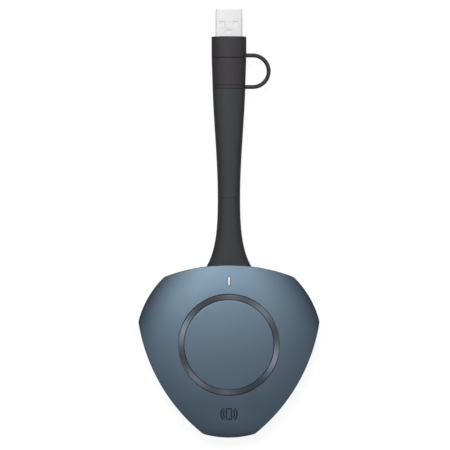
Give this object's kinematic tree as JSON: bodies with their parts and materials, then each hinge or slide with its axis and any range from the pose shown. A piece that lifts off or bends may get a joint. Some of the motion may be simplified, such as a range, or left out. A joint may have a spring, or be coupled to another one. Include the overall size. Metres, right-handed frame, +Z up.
{
  "type": "wireless display dongle",
  "caption": "Rounded-triangle puck with a round push button, a short flexible neck, a USB-C plug and a tethered USB-A adapter pushed over it.",
  "frame": {"origin": "on the table plane under the foot pad, on the button's axis", "axes": "+Z up out of the button, +Y along the neck to the plug, +X to the right seen from above"},
  "size_m": [0.081, 0.1919, 0.016],
  "materials": {
    "face_paint": "soft satin blue-grey coating on moulded plastic",
    "base_plastic": "fine-textured dark blue-grey moulded plastic",
    "pad_rubber": "soft matt rubber",
    "screw_steel": "plain zinc-plated steel",
    "ring_metal": "dark brushed metal",
    "inner_plastic": "plain moulded plastic",
    "switch_plastic": "plain moulded plastic",
    "plunger_plastic": "plain moulded plastic",
    "board_laminate": "green solder mask over glass laminate",
    "can_steel": "tinned steel",
    "chip_plastic": "matt moulding compound",
    "capacitor_ceramic": "tan ceramic with tinned ends",
    "pipe_clear": "frosted clear plastic",
    "led_white": "white lamp body",
    "film_copper": "copper track on film",
    "lead_jacket": "thin lead jacket",
    "connector_plastic": "natural nylon",
    "neck_elastomer": "soft-touch moulded elastomer",
    "cable_jacket": "cable jacket",
    "grip_plastic": "soft-touch moulded plastic",
    "tether_elastomer": "flexible elastomer",
    "plug_steel": "light satin plated steel",
    "insert_plastic": "black moulding",
    "insulator_plastic": "pale moulding",
    "contact_gold": "gold-plated contacts"
  },
  "bodies": {
    "puck": {"top_cover": "face_paint", "bottom_cover": "base_plastic", "foot_pad": "pad_rubber", "cover_screws": "screw_steel", "trim_ring": "ring_metal", "button_guide": "inner_plastic", "tact_switch": "switch_plastic", "main_board": "board_laminate", "radio_board": "board_laminate", "shield_can": "can_steel", "processor_chip": "chip_plastic", "memory_chip": "chip_plastic", "power_inductor": "chip_plastic", "board_capacitors": "capacitor_ceramic", "light_board": "board_laminate", "status_led": "led_white", "light_pipe": "pipe_clear", "tap_antenna": "film_copper", "antenna_right": "film_copper", "antenna_left": "film_copper", "antenna_sockets": "contact_gold", "antenna_lead_right": "lead_jacket", "antenna_lead_left": "lead_jacket", "inner_cable": "cable_jacket", "neck_root": "neck_elastomer", "neck_flex_lower": "neck_elastomer", "cable_clamp": "inner_plastic", "clamp_screws": "screw_steel", "board_connector": "connector_plastic", "cable_plug": "connector_plastic"},
    "button": {"button_cap": "face_paint", "switch_plunger": "plunger_plastic"},
    "neck_link": {"neck_middle": "neck_elastomer", "neck_flex_upper": "neck_elastomer"},
    "plug": {"neck_tip": "neck_elastomer", "cable_ferrule": "can_steel", "plug_board": "board_laminate", "plug_grip": "grip_plastic", "usb_c_shell": "plug_steel", "usb_c_insert": "insert_plastic", "usb_c_contacts": "contact_gold", "tether_collar": "tether_elastomer"},
    "adapter": {"tether_loop": "tether_elastomer", "adapter_housing": "grip_plastic", "socket_shell": "plug_steel", "socket_tongue": "insert_plastic", "adapter_board": "board_laminate", "usb_a_shell": "plug_steel", "usb_a_insulator": "insulator_plastic", "usb_a_contacts": "contact_gold"}
  },
  "joints": [
    {"name": "button_press", "type": "slide", "parent": "puck", "child": "button", "axis": [0, 0, -1], "range_m": [0, 0.0005], "stiffness_N_per_m": 3000, "springref_m": -0.0001},
    {"name": "neck_bend_up", "type": "hinge", "parent": "puck", "child": "neck_link", "pos_m": [0, 0.058, 0.0065], "axis": [1, 0, 0], "range_deg": [-50, 50], "stiffness_Nm_per_rad": 0.6, "deforming": ["neck_flex_lower", "inner_cable"]},
    {"name": "neck_bend_side", "type": "hinge", "parent": "neck_link", "child": "plug", "pos_m": [0, 0.073, 0.0065], "axis": [0, 0, 1], "range_deg": [-50, 50], "stiffness_Nm_per_rad": 0.6, "deforming": ["neck_flex_upper", "inner_cable"]},
    {"name": "adapter_pull", "type": "slide", "parent": "plug", "child": "adapter", "axis": [0, 1, 0], "range_m": [0, 0.008], "deforming": ["tether_loop"]}
  ]
}
